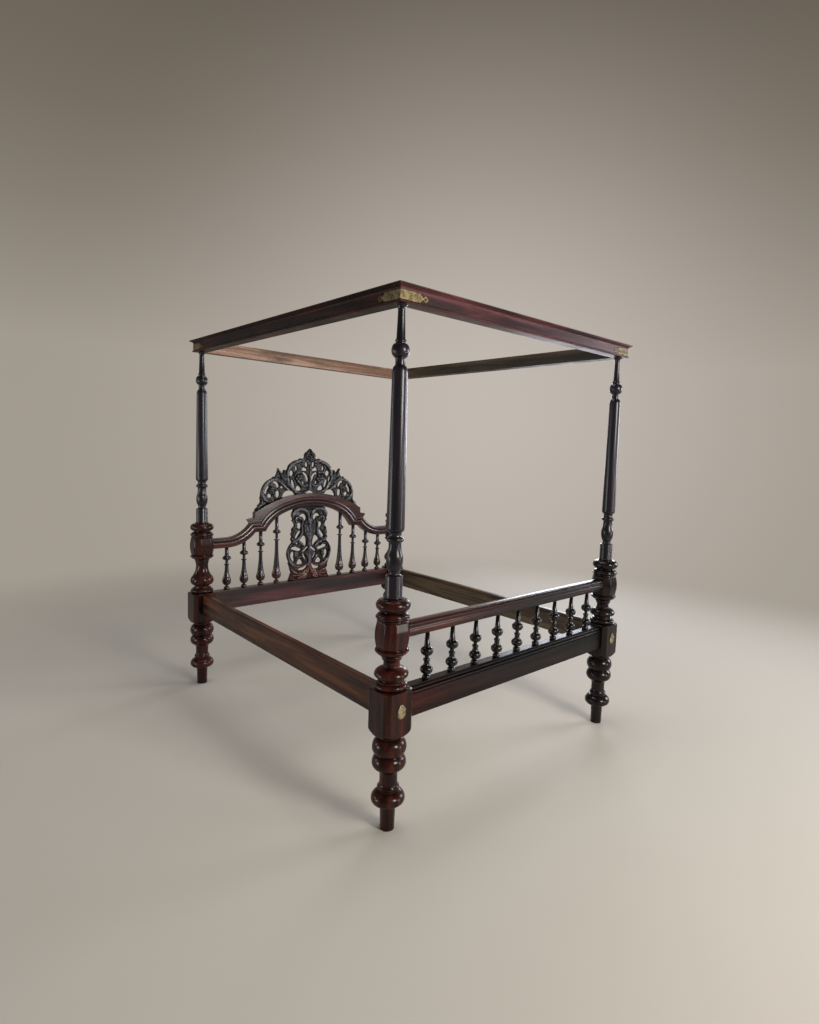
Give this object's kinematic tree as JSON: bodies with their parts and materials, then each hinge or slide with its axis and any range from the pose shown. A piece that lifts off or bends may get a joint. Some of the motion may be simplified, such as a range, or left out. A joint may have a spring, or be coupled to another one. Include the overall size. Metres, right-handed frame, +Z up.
{
  "type": "four-poster bed frame",
  "caption": "Four-poster bed frame with turned posts, spindle footboard, arched carved headboard, bolted side rails and a moulded tester frame.",
  "frame": {"origin": "on the floor, midway between the four posts", "axes": "+Z up, +Y from the foot towards the head, +X to the right when looking from the foot to the head"},
  "size_m": [1.716, 2.1568, 2.214],
  "materials": {
    "turned_rosewood": "french polished, reddish brown, worn",
    "dark_rosewood": "polished, darkened with age",
    "moulded_rosewood": "polished, satin",
    "carved_rosewood": "carved, waxed, dark in the hollows",
    "bare_wood": "raw, unpolished",
    "aged_brass": "tarnished",
    "wrought_iron": "blackened"
  },
  "bodies": {
    "bed_frame": {"lower_post_foot_left": "turned_rosewood", "lower_post_foot_right": "turned_rosewood", "lower_post_head_left": "turned_rosewood", "lower_post_head_right": "turned_rosewood", "upper_post_foot_left": "dark_rosewood", "upper_post_foot_right": "dark_rosewood", "upper_post_head_left": "dark_rosewood", "upper_post_head_right": "dark_rosewood", "side_rail_left": "moulded_rosewood", "side_rail_right": "moulded_rosewood", "head_rail": "moulded_rosewood", "foot_rail": "moulded_rosewood", "foot_top_rail": "moulded_rosewood", "head_top_rail": "moulded_rosewood", "head_splat": "carved_rosewood", "head_crest": "carved_rosewood", "crest_dowels": "bare_wood", "foot_spindle_1": "dark_rosewood", "foot_spindle_2": "dark_rosewood", "foot_spindle_3": "dark_rosewood", "foot_spindle_4": "dark_rosewood", "foot_spindle_5": "dark_rosewood", "foot_spindle_6": "dark_rosewood", "foot_spindle_7": "dark_rosewood", "foot_spindle_8": "dark_rosewood", "foot_spindle_9": "dark_rosewood", "head_spindle_1": "turned_rosewood", "head_spindle_2": "turned_rosewood", "head_spindle_3": "turned_rosewood", "head_spindle_4": "turned_rosewood", "head_spindle_5": "turned_rosewood", "head_spindle_6": "turned_rosewood", "head_spindle_7": "turned_rosewood", "head_spindle_8": "turned_rosewood", "tester_rail_foot": "moulded_rosewood", "tester_rail_head": "moulded_rosewood", "tester_rail_left": "moulded_rosewood", "tester_rail_right": "moulded_rosewood", "tester_pins": "wrought_iron", "corner_plate_foot_left": "aged_brass", "corner_plate_foot_right": "aged_brass", "corner_plate_head_left": "aged_brass", "corner_plate_head_right": "aged_brass", "corner_plate_screws": "aged_brass", "bed_bolts": "wrought_iron", "bolt_washers": "wrought_iron", "bolt_nuts": "wrought_iron", "cover_pins": "aged_brass"},
    "bolt_cover_foot_left": {"bolt_cover_foot_left": "aged_brass"},
    "bolt_cover_foot_right": {"bolt_cover_foot_right": "aged_brass"},
    "bolt_cover_head_left": {"bolt_cover_head_left": "aged_brass"},
    "bolt_cover_head_right": {"bolt_cover_head_right": "aged_brass"}
  },
  "joints": [
    {"name": "bolt_cover_foot_left_swing", "type": "hinge", "parent": "bed_frame", "child": "bolt_cover_foot_left", "pos_m": [-0.785, -1.0745, 0.5505], "axis": [0, 1, 0], "range_deg": [-100, 100]},
    {"name": "bolt_cover_foot_right_swing", "type": "hinge", "parent": "bed_frame", "child": "bolt_cover_foot_right", "pos_m": [0.785, -1.0745, 0.5505], "axis": [0, 1, 0], "range_deg": [-100, 100]},
    {"name": "bolt_cover_head_left_swing", "type": "hinge", "parent": "bed_frame", "child": "bolt_cover_head_left", "pos_m": [-0.785, 1.0745, 0.5505], "axis": [0, 1, 0], "range_deg": [-100, 100]},
    {"name": "bolt_cover_head_right_swing", "type": "hinge", "parent": "bed_frame", "child": "bolt_cover_head_right", "pos_m": [0.785, 1.0745, 0.5505], "axis": [0, 1, 0], "range_deg": [-100, 100]}
  ]
}
